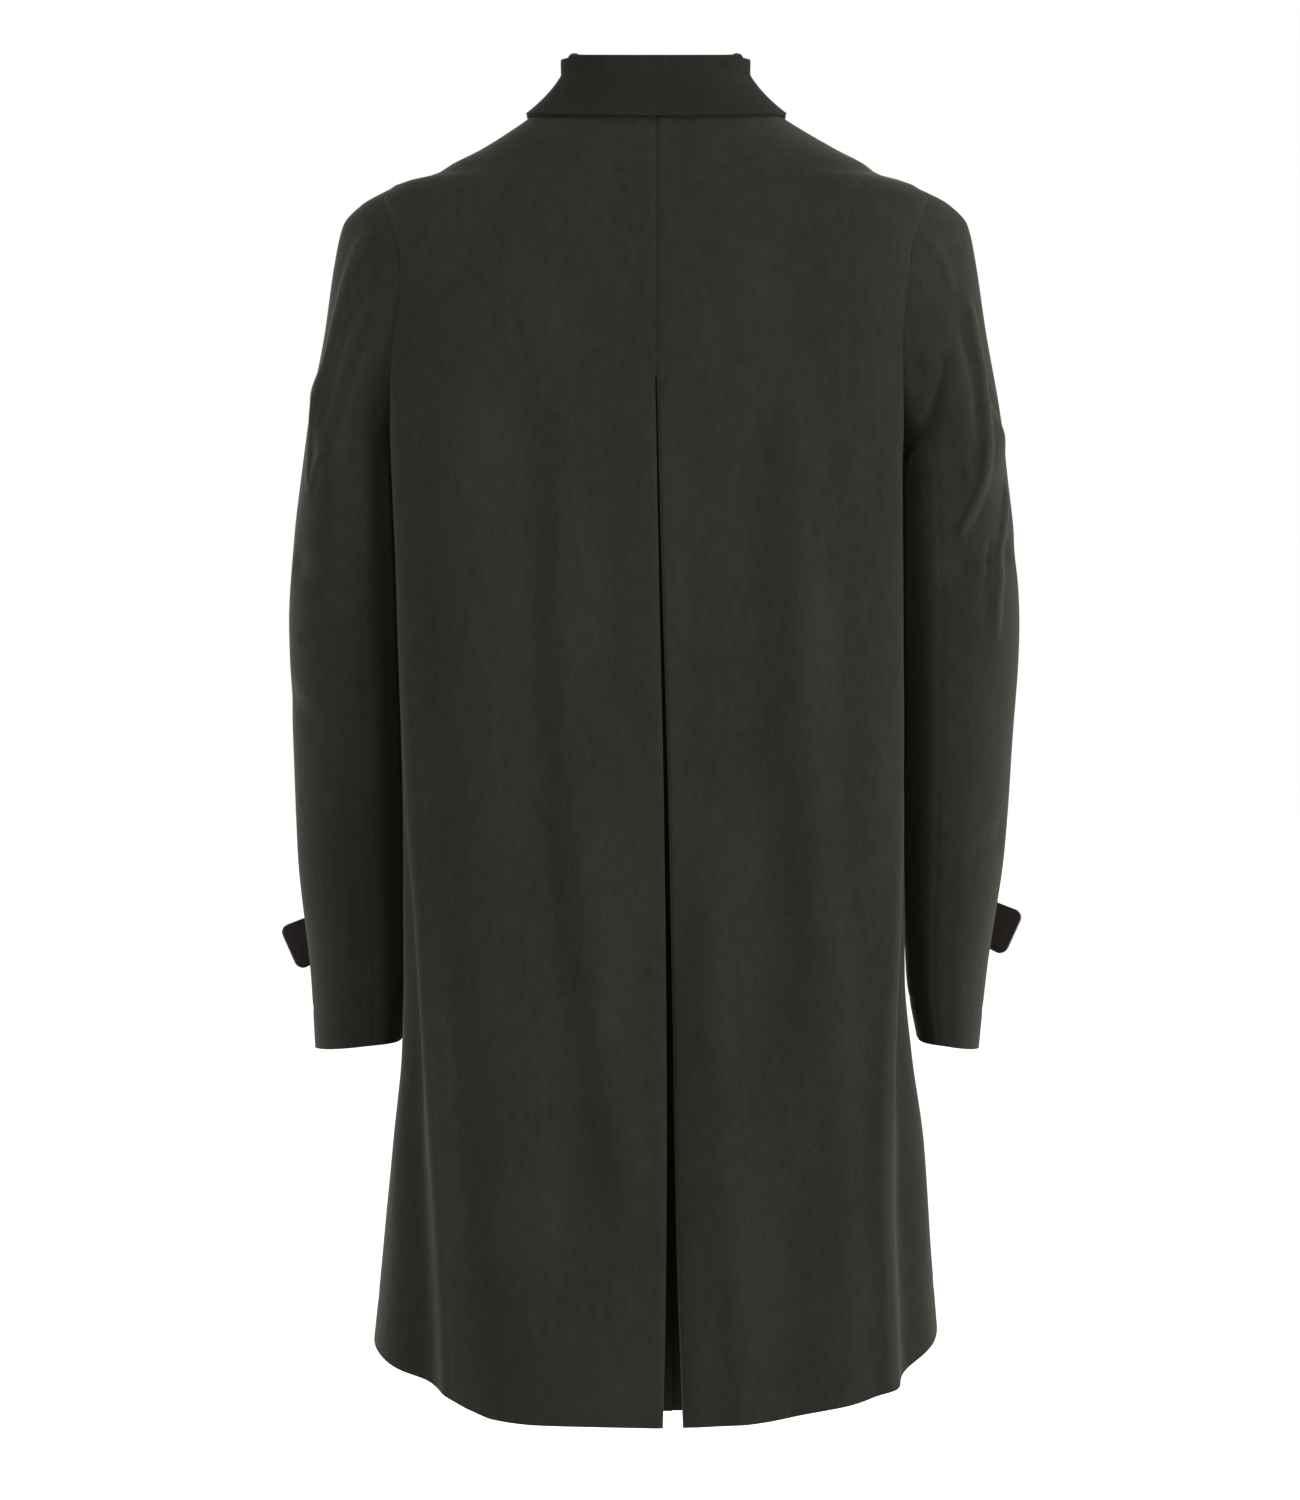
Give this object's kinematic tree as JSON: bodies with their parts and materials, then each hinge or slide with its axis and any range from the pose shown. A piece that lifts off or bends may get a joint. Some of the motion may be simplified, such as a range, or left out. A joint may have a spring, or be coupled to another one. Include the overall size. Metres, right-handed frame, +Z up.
{
  "type": "loden coat",
  "caption": "Knee-length wool coat in its worn form, hollow, with a fold-over collar, centre back pleat, button front and leather sleeve tabs.",
  "frame": {"origin": "middle of the neck opening at the height of the centre back neck seam, where the wearer holds the coat", "axes": "+X to the wearer's left, +Y to the back of the coat, +Z up"},
  "size_m": [0.6143, 0.3289, 1.078],
  "materials": {
    "loden": "brushed wool with a short nap, very dark olive grey",
    "tab_leather": "matte dark brown leather",
    "horn": "polished dark brown horn"
  },
  "bodies": {
    "root": {"back_left": "loden", "front_left": "loden", "sleeve_top_left": "loden", "sleeve_under_left": "loden", "tab_left": "tab_leather", "tab_button_left": "horn", "back_right": "loden", "front_right": "loden", "sleeve_top_right": "loden", "sleeve_under_right": "loden", "tab_right": "tab_leather", "tab_button_right": "horn", "collar": "loden", "button_1": "horn", "button_2": "horn", "button_3": "horn", "button_4": "horn"}
  },
  "joints": []
}
